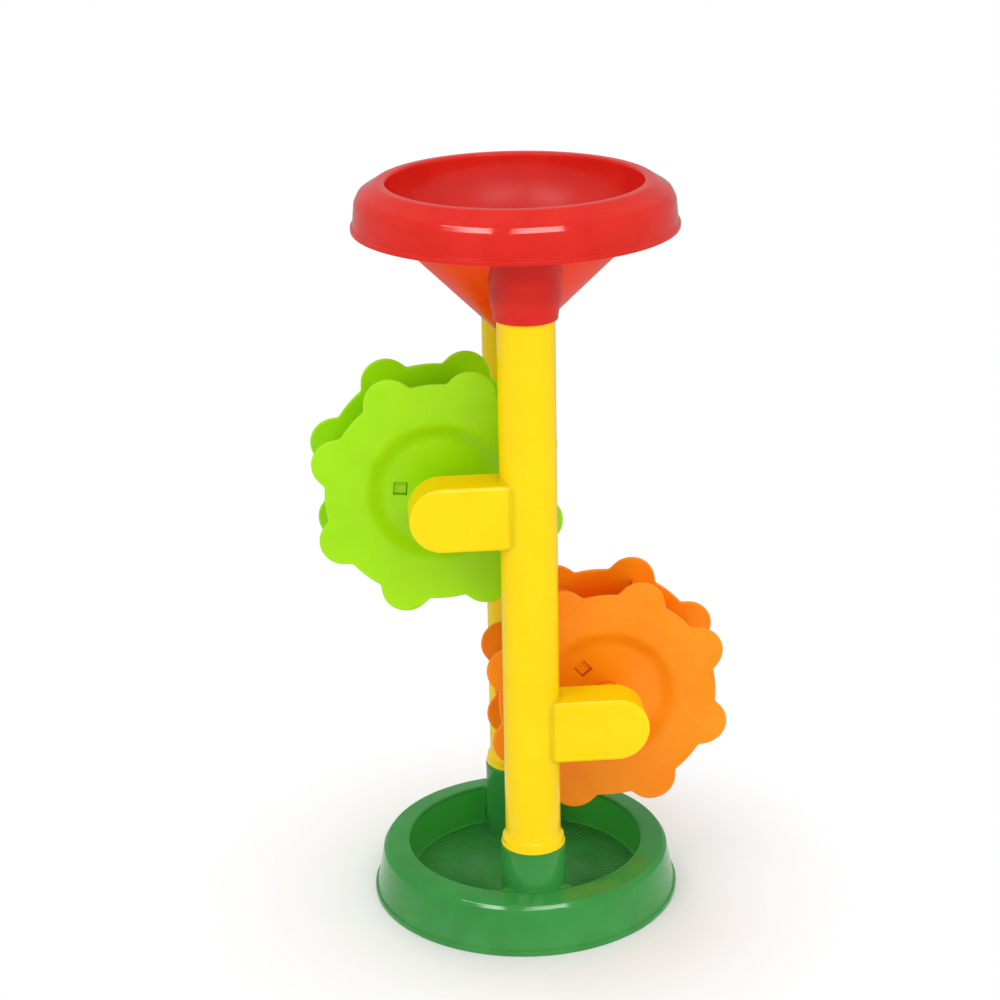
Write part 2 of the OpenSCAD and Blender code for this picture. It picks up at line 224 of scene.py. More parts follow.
def trayDull(g, place):
    # so is the floor of the well
    height, radius = heightAndRadius(g, place)
    return g.fade(radius, shading["wellR"], shading["wellRough"]) * g.fade(height, shading["wellZ"])


def hopperPaintedGlow(g, place, body):
    # painted glow: the funnel below the rim is thin, and its colour is painted a glowing orange-red
    # as if light came through it
    thin = g.out(g.make("ShaderNodeAttribute", {"attribute_name": "thin"}), "Fac")
    return g.blend(thin, body, shading["funnelPaintedGlow"])


def trayPaintedGlow(g, place, body):
    # painted glow: the wall of the well is painted lighter as if light came through it from behind
    height, radius = heightAndRadius(g, place)
    wall = g.span(radius, *shading["wallIn"]) * g.fade(radius, shading["wallOut"])
    lit = wall * g.fade(height, shading["wallTop"]) * shading["wallShare"]
    return g.blend(lit, body, shading["wallPaintedGlow"])


def wheelPaintedShade(name, glow):
    # painted shade and bounce light: between the two discs of a wheel the colour is painted darker
    # and deeper
    axleX, axleZ = (mm * c for c in axles[name])

    def paintedLight(g, place, body):
        x, y, z = g.axes(place)
        x, z = x - axleX, z - axleZ
        radius = (x * x + z * z).math("SQRT")
        inside = (g.fade(y.math("ABSOLUTE"), shading["discY"], shading["discShare"])
                  * g.span(radius, *shading["dishR"]))
        # the given colour is the painted shade between the discs
        return g.blend(inside * g.fade(radius, shading["discR"]), body, glow)
    return paintedLight


# the tray's green carries a painted glow on the well's wall
greenPlastic = mouldedPlastic(
    "green_moulded", (0.042, 0.30, 0.055), (0.030, 0.245, 0.042), (0.20, 0.48, 0.22),
    trayPaintedGlow, trayDull, shine=0.45, rough=0.1, roughSpread=0.04, glow=0.26)
yellowPlastic = mouldedPlastic(
    "yellow_moulded", (0.97, 0.69, 0.003), (0.95, 0.645, 0.002), (1.0, 0.86, 0.35),
    rough=0.12, roughSpread=0.05, glow=0.22)
# the hopper's red carries a painted glow on the funnel
redPlastic = mouldedPlastic(
    "red_moulded", (0.71, 0.022, 0.012), (0.64, 0.014, 0.008), (0.95, 0.25, 0.18),
    hopperPaintedGlow, hopperDull, shine=0.42, rough=0.1, roughSpread=0.04)
# each wheel's last colour is the painted shade between its discs
limePlastic = mouldedPlastic(
    "lime_moulded", (0.375, 0.75, 0.002), (0.33, 0.70, 0.001), (0.65, 0.92, 0.25),
    wheelPaintedShade("upper", (0.24, 0.62, 0.001)), rough=0.32, glow=0.3, glowDepth=0.006)
orangePlastic = mouldedPlastic(
    "orange_moulded", (1.0, 0.31, 0.004), (0.98, 0.26, 0.002), (1.0, 0.55, 0.2),
    wheelPaintedShade("lower", (1.0, 0.12, 0.001)), rough=0.32, glow=0.2, glowDepth=0.004)
axlePlastic = mouldedPlastic(
    "white_moulded", (0.82, 0.82, 0.80), (0.76, 0.76, 0.73), (0.95, 0.95, 0.93), rough=0.36)
print("materials made")


# Mesh helpers

def smoothPiece(name, mesh, creaseAngle=38):
    mesh.shade_smooth()
    mesh.set_sharp_from_angle(angle=math.radians(creaseAngle))
    piece = bpy.data.objects.new(name, mesh)
    bpy.context.scene.collection.objects.link(piece)
    return piece


class Shell:  # rings of points in millimetres that become one mesh
    mergeDistance = 2e-6
    leastEdge = 1e-7

    def __init__(self):
        self.points = []
        self.faces = []
        self.thin = []  # 1 where the wall is thin; the funnel's painted glow goes there
        self.thinWhere = None

    def keep(self, ring):
        self.points.extend(ring)
        self.thin.extend(1.0 if self.thinWhere and self.thinWhere(*p) else 0.0 for p in ring)

    def rings(self, rings, loop=False):
        start = len(self.points)
        count = len(rings[0])
        for ring in rings:
            self.keep(ring)
        for row in range(len(rings) if loop else len(rings) - 1):
            below = start + row * count
            above = start + (row + 1) % len(rings) * count
            for i in range(count):
                j = (i + 1) % count
                self.faces.append((below + i, below + j, above + j, above + i))

    def lid(self, ring):
        start = len(self.points)
        self.keep(ring)
        self.faces.append(tuple(range(start, start + len(ring))))

    def block(self, rings):  # rings with a lid at each end
        self.rings(rings)
        self.lid(rings[0])
        self.lid(rings[-1])

    def mesh(self, name):
        mesh = bpy.data.meshes.new(name)
        mesh.from_pydata([tuple(mm * c for c in p) for p in self.points], [], self.faces)
        if any(self.thin):
            mesh.attributes.new("thin", "FLOAT", "POINT").data.foreach_set("value", self.thin)
        work = bmesh.new()
        work.from_mesh(mesh)
        bmesh.ops.remove_doubles(work, verts=work.verts, dist=self.mergeDistance)
        bmesh.ops.dissolve_degenerate(work, edges=work.edges, dist=self.leastEdge)
        bmesh.ops.recalc_face_normals(work, faces=work.faces)
        work.to_mesh(mesh)
        work.free()
        return mesh

    def piece(self, name, material):
        mesh = self.mesh(name)
        mesh.materials.append(material)
        return smoothPiece(name, mesh)


def ease(share):  # soft step from 0 to 1
    share = min(max(share, 0), 1)
    return share * share * (3 - 2 * share)


def quarterTurn(steps):  # cosine and sine at even steps from 0 to 90 degrees
    angles = [math.radians(90 * k / steps) for k in range(steps + 1)]
    return [(math.cos(a), math.sin(a)) for a in angles]


def evenTurns(count):
    return [360 * i / count for i in range(count)]


softenSettings = {"leastTurn": 0.02, "arcStep": 18, "sideShare": 0.49}


def soften(corners, closed=True, guard=0.35):
    # rounds each (x, y, radius) corner by an arc, and keeps short guard edges beside the arcs
    line = []
    count = len(corners)
    share = softenSettings["sideShare"]
    for i, (x, y, radius) in enumerate(corners):
        here = Vector((x, y))
        before = Vector(corners[i - 1][:2]) - here
        after = Vector(corners[(i + 1) % count][:2]) - here
        isEnd = not closed and i in (0, count - 1)
        turn = math.pi - before.angle(after) if before.length and after.length else 0
        if isEnd or radius <= 0 or turn < softenSettings["leastTurn"]:
            line.append((x, y))
            continue
        rooms = share * before.length, share * after.length
        reach = min(radius * math.tan(turn / 2), *rooms)
        radius = reach / math.tan(turn / 2)
        before.normalize()
        after.normalize()
        centre = here + (before + after).normalized() * radius / math.cos(turn / 2)
        steps = max(2, math.ceil(turn / math.radians(softenSettings["arcStep"])))
        first = ((here + before * reach) - centre).normalized()
        last = ((here + after * reach) - centre).normalized()
        if reach + guard < rooms[0]:
            line.append(tuple(here + before * (reach + guard)))
        line += [tuple(centre + first.slerp(last, k / steps) * radius) for k in range(steps + 1)]
        if reach + guard < rooms[1]:
            line.append(tuple(here + after * (reach + guard)))
    return line


def turned(shell, profile, centre=(0, 0), turns=None, shape=None):
    # revolves a closed profile of (radius, height) about an upright axis
    rings = []
    for turn in turns or evenTurns(144):
        a = math.radians(turn)
        ring = []
        for radius, height in profile:
            if shape:
                radius = shape(radius, turn)
            x, y = radius * math.cos(a), radius * math.sin(a)
            ring.append((centre[0] + x, centre[1] + y, height))
        rings.append(ring)
    shell.rings(rings, loop=True)


# Camera, light, floor

cameraSettings = {"place": (-0.0997, -1.1191, 0.6222), "azimuth": 0.080, "elevation": 0.347,
                  "roll": -0.019, "lens": 85.30, "sensor": 36, "nearest": 0.01}


def setCamera(s):
    view = Vector((math.sin(s["azimuth"]) * math.cos(s["elevation"]),
                   math.cos(s["azimuth"]) * math.cos(s["elevation"]), -math.sin(s["elevation"])))
    right = view.cross(Vector((0, 0, 1))).normalized()
    up = right.cross(view)
    right, up = (math.cos(s["roll"]) * right + math.sin(s["roll"]) * up,
                 math.cos(s["roll"]) * up - math.sin(s["roll"]) * right)
    data = bpy.data.cameras.new("camera")
    data.sensor_width = s["sensor"]
    data.lens = s["lens"]
    data.clip_start = s["nearest"]
    camera = bpy.data.objects.new("camera", data)
    turn = Matrix((right, up, -view)).transposed().to_4x4()
    camera.matrix_world = Matrix.Translation(Vector(s["place"])) @ turn
    bpy.context.scene.collection.objects.link(camera)
    bpy.context.scene.camera = camera


setCamera(cameraSettings)
bpy.context.scene.view_settings.view_transform = "Standard"

# azimuth from the front to the right, elevation, distance, width, height, watts, mirrored
lampSettings = {
    "key": (-44, 42, 2.2, 1.2, 0.15, 8.0, True),
    "front": (12, 42, 2.2, 1.2, 0.15, 6.5, True),
    "side": (62, 20, 1.8, 0.9, 0.9, 1.2, False),
    "low": (20, 6, 2.6, 2.4, 1.6, 8.5, False),
    "top": (170, 75, 1.7, 1.3, 1.3, 3.0, False),
    "back": (190, 32, 1.8, 1.2, 1.0, 4.5, False),
}
lampAim = (0, 0, 0.2)


def softLamp(name, azimuth, elevation, distance, width, height, power, mirrored):
    data = bpy.data.lights.new(name, "AREA")
    data.shape = "RECTANGLE"
    data.size = width
    data.size_y = height
    data.energy = power
    turn, rise = math.radians(azimuth), math.radians(elevation)
    away = Vector((math.sin(turn) * math.cos(rise), -math.cos(turn) * math.cos(rise),
                   math.sin(rise)))
    lamp = bpy.data.objects.new(name, data)
    lamp.location = Vector(lampAim) + away * distance
    lamp.rotation_euler = away.to_track_quat("Z", "Y").to_euler()
    lamp.visible_glossy = mirrored
    bpy.context.scene.collection.objects.link(lamp)


for lampName, lamp in lampSettings.items():
    softLamp(lampName, *lamp)

roomSettings = {
    "fill": 0.82, "seen": 1.0, "mirrored": 0.4,  # levels as light, to the camera, in mirrors
    "paper": (0.86, 0.89), "paperGrain": 400.0, "paperRough": 0.85,
    "far": (0.09, 0.19),  # distance over which the floor turns plain white
    "floorHalf": 4.0,
}
white = (1, 1, 1, 1)


def seenRays(g):  # camera, mirror and see-through rays, and mirror rays alone
    path = g.make("ShaderNodeLightPath")
    camera, mirrored, through = (
        g.out(path, key) for key in ("Is Camera Ray", "Is Glossy Ray", "Is Transmission Ray"))
    return camera.math("MAXIMUM", mirrored).math("MAXIMUM", through), mirrored


def makeWorld(s):
    world = bpy.data.worlds.new("room")
    bpy.context.scene.world = world
    g = blankGraph(world)
    seen, mirrored = seenRays(g)
    level = g.span(seen, 0.0, 1.0, s["fill"], s["seen"], "LINEAR")
    strength = level - mirrored * (s["seen"] - s["mirrored"])
    back = g.make("ShaderNodeBackground", Color=white, Strength=strength)
    g.make("ShaderNodeOutputWorld", Surface=g.out(back))


def makeFloor(s):
    # white paper that keeps the shadow
    material = bpy.data.materials.new("floor_paper")
    g = blankGraph(material)
    place = g.out(g.make("ShaderNodeTexCoord"), "Object")
    grain = g.noise(place, s["paperGrain"])
    colour = g.blend(grain, *([level] * 3 for level in s["paper"]))
    paper = g.make("ShaderNodeBsdfPrincipled",
                   **{"Roughness": s["paperRough"], "Base Color": colour})
    seen, mirrored = seenRays(g)
    lit = g.make("ShaderNodeEmission", Color=white,
                 Strength=s["seen"] - mirrored * (s["seen"] - s["mirrored"]))
    # far from the object the paper is plain white
    distance = g.make("ShaderNodeVectorMath", {"operation": "LENGTH"}, place)
    far = g.span(g.out(distance, "Value"), *s["far"])
    mix = g.make("ShaderNodeMixShader", {}, seen * far, g.out(paper), g.out(lit))
    g.make("ShaderNodeOutputMaterial", Surface=g.out(mix))
    half = s["floorHalf"]
    mesh = bpy.data.meshes.new("floor")
    corners = [(-half, -half, 0), (half, -half, 0), (half, half, 0), (-half, half, 0)]
    mesh.from_pydata(corners, [], [(0, 1, 2, 3)])
    mesh.materials.append(material)
    floor = bpy.data.objects.new("floor", mesh)
    bpy.context.scene.collection.objects.link(floor)


makeWorld(roomSettings)
makeFloor(roomSettings)
print("camera, lamps and floor set")


# Base tray

tray = {
    "lipR": 80, "lipH": 2.4, "lipW": 1.2,
    "shoulder": (73.1, 25.4), "bevel": (74.95, 23.1), "shoulderRound": 1.0,
    "crownZ": 27, "crownR": 65.2, "crownEdge": 26.55, "wellR": 61, "wall": 2.2,
    "floorZ": 5, "floorLow": 3, "footRing": (20, 22.2), "footTop": 4,
    "postY": 47, "postR": 16.5, "postTop": 48, "spigotR": 12.66, "seatLow": 26.3, "seatTop": 28.7,
    "pocketR": 13.3, "postFillet": 0.3, "flareEnd": 46, "flareFade": 14,  # degrees from outwards
    "postLip": ((1.2, 0), (0.8, 0), (0.3, 0.18), (0, 0.8), (0, 1.4)),  # in from the side, down
    "postEdge": 1.1, "postFoot": 1.4, "postDeep": 1, "wellFillet": 3.0, "sunk": 0.1,
}


def trayProfile(s):
    # from the lip over the crown into the well, and back under
    lipIn, wallR = s["lipR"] - s["lipW"], s["wellR"] + s["wall"]
    under = s["crownZ"] - s["wall"]
    bevelR, bevelZ = s["bevel"]
    return soften([
        (s["lipR"], 0, 0.4), (s["lipR"], s["lipH"], 0.5), (lipIn, s["lipH"] + s["lipW"] / 2, 0.5),
        (bevelR, bevelZ, s["shoulderRound"]), (*s["shoulder"], s["shoulderRound"]),
        (s["crownR"], s["crownEdge"], 2.0), (s["wellR"], s["crownZ"], 1.3),
        (s["wellR"], s["floorZ"], 1.2), (0, s["floorZ"], 0),
        (0, s["floorLow"], 0), (wallR, s["floorLow"], 0.5), (wallR, under, 0.8),
        (s["crownR"], under, 1.0), (bevelR - 2.4, bevelZ - 2.8, 2.2), (lipIn - s["wall"], 0, 0.3),
    ])


def postWall(s, off):
    # plan radius of a post below the crown, run into the wall of the well by a fillet;
    # off is the turn away from outwards
    q = s["wellFillet"]
    near, far = s["postR"] + q, s["wellR"] - q
    cy = (far ** 2 + s["postY"] ** 2 - near ** 2) / (2 * s["postY"])
    cx = math.sqrt(far ** 2 - cy ** 2)
    onPost = math.degrees(math.atan2(cx, cy - s["postY"]))
    wallX, wallY = cx * s["wellR"] / far, cy * s["wellR"] / far
    onWall = math.degrees(math.atan2(wallX, wallY - s["postY"]))
    if off >= onPost:
        return s["postR"]
    a = math.radians(off)
    dx, dy = math.sin(a), math.cos(a)
    if off >= onWall:  # far side of the fillet's circle along this ray
        px, py = cx, cy - s["postY"]
        along = px * dx + py * dy
        return along - math.sqrt(max(q * q - (px * px + py * py - along * along), 0))
    b = dy * s["postY"]
    reach = -b + math.sqrt(b * b - s["postY"] ** 2 + (s["wellR"] + s["sunk"]) ** 2)
    return max(s["postR"], reach)


def makePost(shell, s, side):
    rings = []
    postR, top, crown, floor = s["postR"], s["postTop"], s["crownZ"], s["floorZ"]
    fillet, foot = s["postFillet"], s["postFoot"]
    for turn in evenTurns(180):
        off = abs((turn + 180) % 360 - 180)  # 0 is outwards
        low = postWall(s, off)
        flare = fillet * ease((s["flareEnd"] - off) / s["flareFade"])
        edge = min(s["postEdge"], max(low - postR, 0))
        profile = [(s["spigotR"], top)]
        profile += [(postR - inset, top - drop) for inset, drop in s["postLip"]]
        profile.append((postR, crown + fillet + 1))
        profile += [(postR + flare * (1 - c), crown + fillet - fillet * h)
                    for c, h in quarterTurn(5)]
        profile += [(max(low - edge, postR), crown - hair),
                    (max(low - edge * 0.3, postR), crown - edge * 0.3 - 0.05),
                    (low, crown - edge - 0.1), (low, floor + 2.0)]
        profile += [(low + foot * (1 - c), floor + foot - foot * h) for c, h in quarterTurn(4)[1:]]
        profile += [(low, floor - s["postDeep"]), (s["pocketR"], floor - s["postDeep"]),
                    (s["pocketR"], s["seatLow"]), (0, s["seatLow"]), (0, s["seatTop"]),
                    (s["spigotR"], s["seatTop"])]
        a = math.radians(turn)
        rings.append([(side * r * math.sin(a), side * (s["postY"] + r * math.cos(a)), z)
                      for r, z in profile])
    shell.rings(rings, loop=True)


def footRing(shell, s):
    inner, outer = s["footRing"]
    turned(shell, soften([(inner, 0, 0.3), (outer, 0, 0.3), (outer, s["footTop"], 0),
                          (inner, s["footTop"], 0)]))


shell = Shell()
turned(shell, trayProfile(tray), turns=evenTurns(180))
for side in (-1, 1):
    makePost(shell, tray, side)
footRing(shell, tray)
trayPiece = shell.piece("tray_ring", greenPlastic)
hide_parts("base_tray")
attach(trayPiece, "tower")
print("tray made")


# Geometry Nodes helpers

def newTree(name, inputs):
    tree = bpy.data.node_groups.new(name, "GeometryNodeTree")
    for way in ("INPUT", "OUTPUT"):
        tree.interface.new_socket("Geometry", in_out=way, socket_type="NodeSocketGeometry")
    for key, value in inputs.items():
        kind = "NodeSocketInt" if isinstance(value, int) else "NodeSocketFloat"
        tree.interface.new_socket(key, in_out="INPUT", socket_type=kind).default_value = value
    tree.interface.new_socket("Material", in_out="INPUT", socket_type="NodeSocketMaterial")
    g = Graph(tree)
    group = g.make("NodeGroupInput")
    return g, {socket.name: g.out(group, socket.name) for socket in group.outputs if socket.name}


def position(g):
    return g.out(g.make("GeometryNodeInputPosition"))


def unitBar(g, *counts):
    # a cube with so many vertices each way, and the place on it, which runs from -0.5 to 0.5
    keys = ("Vertices X", "Vertices Y", "Vertices Z")
    bar = g.make("GeometryNodeMeshCube", Size=(1, 1, 1), **dict(zip(keys, counts)))
    return g.out(bar), *g.axes(position(g))


def placed(g, geometry, *place):
    return g.out(g.make("GeometryNodeSetPosition", Geometry=geometry, Position=g.combined(*place)))


def aroundAxis(g, geometry, count):
    # copies at even turns about the upright axis
    points = g.make("GeometryNodePoints", {}, count)
    turn = g.out(g.make("GeometryNodeInputIndex")) * (2 * math.pi) / count
    return g.out(g.make("GeometryNodeInstanceOnPoints", Points=g.out(points), Instance=geometry,
                        Rotation=g.combined(0.0, 0.0, turn)))


def closeTree(g, geometry, material):
    real = g.make("GeometryNodeRealizeInstances", {}, geometry)
    finish = g.make("GeometryNodeSetMaterial", Geometry=g.out(real), Material=material)
    g.make("NodeGroupOutput", {}, g.out(finish))
    return g.tree


def grown(name, tree, values, material, seedMesh=None):
    # runs a tree on a new object and keeps the result as a plain mesh
    seed = bpy.data.objects.new(name + "_seed", seedMesh or bpy.data.meshes.new(name + "_seed"))
    bpy.context.scene.collection.objects.link(seed)
    modifier = seed.modifiers.new("build", "NODES")
    modifier.node_group = tree
    values = {**values, "Material": material}
    for item in tree.interface.items_tree:
        if item.item_type == "SOCKET" and item.in_out == "INPUT" and item.name in values:
            modifier[item.identifier] = values[item.name]
    graph = bpy.context.evaluated_depsgraph_get()
    mesh = bpy.data.meshes.new_from_object(seed.evaluated_get(graph), depsgraph=graph)
    seed.modifiers.remove(modifier)
    bpy.data.objects.remove(seed)
    mesh.name = name
    if not mesh.materials:
        mesh.materials.append(material)
    return smoothPiece(name, mesh)


# Fine radial ribs on the tray's floor

ribSettings = {"Count": 112, "Start": 0.0235, "End": 0.0612, "Width": 0.0011, "Height": 0.0007,
               "Floor": 0.005, "Sunk": 0.0004, "Roundness": 3.2, "Taper": 0.36, "End Height": 0.2}


def ribTree():
    g, put = newTree("radial ribs", ribSettings)
    bar, along, across, up = unitBar(g, 7, 4, 2)
    x = put["Start"] + (along + 0.5) * (put["End"] - put["Start"])
    y = across * put["Width"]
    crown = 1 - across * across * put["Roundness"]  # rounded back
    ends = g.span(along.math("ABSOLUTE"), put["Taper"], 0.5, 1.0, put["End Height"])
    foot = g.span(up, -0.5, 0.5, -1.0, 0.0, "LINEAR") * put["Sunk"]
    z = put["Floor"] + foot + (up + 0.5) * put["Height"] * crown * ends
    ribsAround = aroundAxis(g, placed(g, bar, x, y, z), put["Count"])
    return closeTree(g, ribsAround, put["Material"])


ribs = grown("tray_ribs", ribTree(), ribSettings, greenPlastic)
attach(ribs, "tower")
print("tray ribs made")


# Columns with their arms

column = {
    "y": 47, "tubeR": 14, "spigotR": 12.6, "spigotLow": 29, "foot": 48, "top": 339,
    "collarR": 16.2, "collarTop": 54, "bead": (0.5, 1.1, 1.5), "neck": (0.6, 1.6),
    "flare": (0.5, 0.1, 1.8),
    "armR": 16.3, "armHalf": 10.8, "armDrop": 0.8, "armRound": 1.6, "armReach": 42,
    "cheekFillet": 5.0, "cheekSunk": 2.2, "cheekInset": 0.6, "armFillet": 1.6,
    "bossR": 7.3, "bossEnd": 29, "bossFoot": 1.6, "bossSeat": (3, 2), "axleR": 3.1, "axleDeep": 3,
    "seamDepth": 0.08, "seamHalf": 0.22, "seamTurns": (0.45, 0.9, 1.3),
    "armSeam": (0.6, 0.25, 0.08),
}


def columnTurns(s):
    # even turns, and closer ones beside the parting lines
    turns = set(evenTurns(120))
    for middle in (0, 180):
        for step in s["seamTurns"]:
            turns |= {(middle + step) % 360, (middle - step) % 360}
    return sorted(turns)


def seamShape(s):
    # fine parting line of the two halves, at the left and right of the tube
    def shape(radius, turn):
        off = math.radians(min(turn % 180, 180 - turn % 180)) * s["tubeR"]
        onTube = radius > s["tubeR"] - 0.5
        return radius - (s["seamDepth"] * max(0.0, 1 - off / s["seamHalf"]) if onTube else 0)
    return shape


def columnTube(shell, s, side):
    tubeR, foot, collarR, collarTop = s["tubeR"], s["foot"], s["collarR"], s["collarTop"]
    beadIn, beadTop, beadEnd = s["bead"]
    neckIn, neckDrop = s["neck"]
    flareOut, flareDrop, flareRise = s["flare"]
    corners = [
        (0, s["spigotLow"], 0), (s["spigotR"], s["spigotLow"], 0.8), (s["spigotR"], foot, 0),
        (collarR, foot, 0.4), (collarR, foot + beadTop, 0.4),
        (collarR - beadIn, foot + beadEnd, 0.5), (collarR - neckIn, collarTop - neckDrop, 1.4),
        (tubeR + flareOut, collarTop - flareDrop, 1.2), (tubeR, collarTop + flareRise, 1.6),
        (tubeR, s["top"], 0.8), (0, s["top"], 0)]
    turned(shell, soften(corners), (0, side * s["y"]), columnTurns(s), seamShape(s))


def armOutline(s, inset):
    r = s["armR"] - inset
    steps = 28
    straight = [0, s["armReach"] * 0.22, s["armReach"] * 0.6, s["armReach"] - 1.5]
    line = [(x, r) for x in straight]
    for i in range(steps + 1):
        a = math.radians(90 - 180 * i / steps)
        line.append((s["armReach"] + r * math.cos(a), r * math.sin(a)))
    return line + [(x, -r) for x in reversed(straight)]


def makeArm(shell, s, side, direction, z):
    q = s["armRound"]
    edge = soften([(0, q + 1.2, 0), (0, q, 0.5), (q * 0.6, q * 0.05, 0.5), (q, 0, 0),
                   (q + 0.4, 0, 0)], closed=False)
    section = [(-s["armHalf"] + depth, inset) for depth, inset in edge]
    outer, inner, middle = s["armSeam"]
    section += [(-outer, 0), (-inner, 0), (-middle, s["seamDepth"])]
    section += [(-y, inset) for y, inset in reversed(section)]
    shell.block([[(direction * x, side * s["y"] + y, z + h) for x, h in armOutline(s, inset)]
                 for y, inset in section])


def makeBoss(shell, s, side, x, z):
    # spacer between the arm and the wheel, run into the arm by a soft foot
    face = s["y"] - s["armHalf"]
    bossR, bossEnd, axleR, foot = s["bossR"], s["bossEnd"], s["axleR"], s["bossFoot"]
    seatR, seat, deep = bossR + s["bossSeat"][0], face + s["bossSeat"][1], bossEnd + s["axleDeep"]
    corners = [(0, seat, 0), (seatR, seat, 0), (seatR, face - hair, 0),
               (bossR + foot, face - hair, 0), (bossR, face - foot, foot), (bossR, bossEnd, 0.7),
               (axleR, bossEnd, 0.4), (axleR, deep, 0), (0, deep, 0)]
    rings = []
    for turn in evenTurns(64):
        a = math.radians(turn)
        rings.append([(x + r * math.cos(a), side * y, z + r * math.sin(a))
                      for r, y in soften(corners)])
    shell.rings(rings, loop=True)


def armFoot(shell, s, side, direction, z, upper):
    # fillet where the flat of an arm runs into the tube
    tubeR = s["tubeR"]
    rings = []
    count = 17
    half = math.degrees(math.asin((s["armHalf"] - s["armRound"] * 0.4) / tubeR))
    flat = z + upper * (s["armR"] - 0.03)
    for i in range(count):
        share = 2 * i / (count - 1) - 1
        a = math.radians(half * share)
        size = s["armFillet"] * math.sqrt(max(1 - share ** 6, 0.0004))
        ring = [(tubeR - 1, flat - upper * 0.6), (tubeR + size, flat - upper * 0.6)]
        ring += [(tubeR - 0.03 + size * (1 - h), flat + upper * size * (1 - c))
                 for c, h in quarterTurn(4)]
        ring.append((tubeR - 1, flat + upper * size))
        rings.append([(direction * r * math.cos(a), side * s["y"] + r * math.sin(a), h)
                      for r, h in ring])
    shell.block(rings)


def cheekFillet(shell, s, side, direction, z):
    # upright fillets where the faces of an arm run into the tube, drawn in at their ends
    q = s["cheekFillet"]
    cy = s["armHalf"] + q
    cx = math.sqrt((s["tubeR"] + q) ** 2 - cy ** 2)
    start = math.degrees(math.atan2(-cy, -cx))
    sunk = s["armHalf"] - s["cheekSunk"]
    ends = [(1.0, 0.8), (0.97, 0.35), (0.93, 0.06)]
    levels = [(-height, pull) for height, pull in ends] + [(0, 0)] + ends[::-1]
    for face in (-1, 1):
        rings = []
        for height, pull in levels:
            ring = [(s["tubeR"] - 5, sunk)]
            for k in range(7):
                a = math.radians(start + (-90 - start) * k / 6)
                x, y = cx + q * math.cos(a), cy + q * math.sin(a)
                ring.append((x - pull * 0.3, y - hair - pull))
            ring.append((cx, sunk))
            rings.append([(direction * x, side * s["y"] + face * y,
                           z + height * (s["armR"] - s["cheekInset"])) for x, y in ring])
        shell.block(rings)


for side, name in ((-1, "front"), (1, "back")):
    shell = Shell()
    columnTube(shell, column, side)
    for axleX, axleZ in axles.values():
        direction = 1 if axleX > 0 else -1
        armZ = axleZ - column["armDrop"]
        makeBoss(shell, column, side, axleX, axleZ)
        makeArm(shell, column, side, direction, armZ)
        cheekFillet(shell, column, side, direction, armZ)
        for upper in (-1, 1):
            armFoot(shell, column, side, direction, armZ, upper)
    piece = shell.piece("column_" + name, yellowPlastic)
    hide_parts(f"column_{name}_outer", f"column_{name}_inner")
    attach(piece, "tower")
print("columns made")


# Hopper

hopper = {
    "lipR": 80, "skirtZ": 356.9, "lipH": 2.2, "lipW": 1.1, "top": 380, "underCrown": 378,
    "mouthR": 62.5, "crownR": 67.3, "shoulder": (75.8, 374.7), "bevel": (77.85, 370.7),
    "bowlR": 48, "bowlX": 14.5, "wall": 2, "spoutR": 6.5, "spoutEnd": 297.12, "thinR": 63.4,
    "socketY": 47, "socketBore": 14.06, "socketR": 15.46, "socketWide": 17.06,
    "socketLow": 323.6, "socketSwell": 335, "socketBevel": 0.3, "socketEdge": 0.5,
    "socketNick": 0.12, "roofTop": 340.9, "roofWall": 1.6, "roofSkirt": 8, "roofSide": 1.4,
}
coneAngle = math.radians(45)


def bowlHeight(s, radius, out):
    # height of the bowl's face at a plan radius; out is the distance outside the inner face
    big = s["bowlR"] + out
    turnR = s["bowlX"] + big * math.cos(coneAngle)
    if radius >= turnR:
        return s["top"] - big * math.sin(math.acos(min((radius - s["bowlX"]) / big, 1)))
    return s["top"] - big * math.sin(coneAngle) - (turnR - radius)


def bowlArc(s, out):
    # points down the round part of the bowl, from the mouth to the cone
    steps = 14
    radii = [s["bowlX"] + (s["bowlR"] + out) * math.cos(coneAngle * k / steps)
             for k in range(1, steps + 1)]
    return [(radius, bowlHeight(s, radius, out), 0) for radius in radii]


def hopperProfile(s):
    # rim from the skirt up and over, the bowl down to the spout, and back under
    lipIn, lipTop, wall = s["lipR"] - s["lipW"], s["skirtZ"] + s["lipH"], s["wall"]
    spoutR, outR, end = s["spoutR"], s["spoutR"] + wall, s["spoutEnd"]
    bevelR, bevelZ = s["bevel"]
    rim = [(s["lipR"], s["skirtZ"], 0.4), (s["lipR"], lipTop, 0.5),
           (lipIn, lipTop + s["lipW"] / 2, 0.5), (bevelR, bevelZ, 4.0), (*s["shoulder"], 3.0),
           (s["crownR"], s["top"], 3.0), (s["mouthR"] + hair, s["top"], 1.6)]
    spout = [(spoutR, bowlHeight(s, spoutR, 0), 3.0), (spoutR, end, 0.5),
             (outR, end, 0.6), (outR, bowlHeight(s, outR, wall), 3.0)]
    under = [(s["mouthR"] + wall, s["underCrown"], 1.0), (s["crownR"], s["underCrown"], 1.0),
             (bevelR - 2.5, bevelZ - 0.8, 3.0), (lipIn - wall, s["skirtZ"], 0.3)]
    return soften(rim + bowlArc(s, 0) + spout + bowlArc(s, wall)[::-1] + under)


def bowlReach(s, height):
    # plan radius of the middle of the bowl's wall at a height
    big = s["bowlR"] + s["wall"] / 2
    drop = max(s["top"] - height, 0)
    knee = big * math.sin(coneAngle)
    if drop <= knee:
        return s["bowlX"] + big * math.cos(math.asin(drop / big))
    return s["bowlX"] + knee * 2 - drop


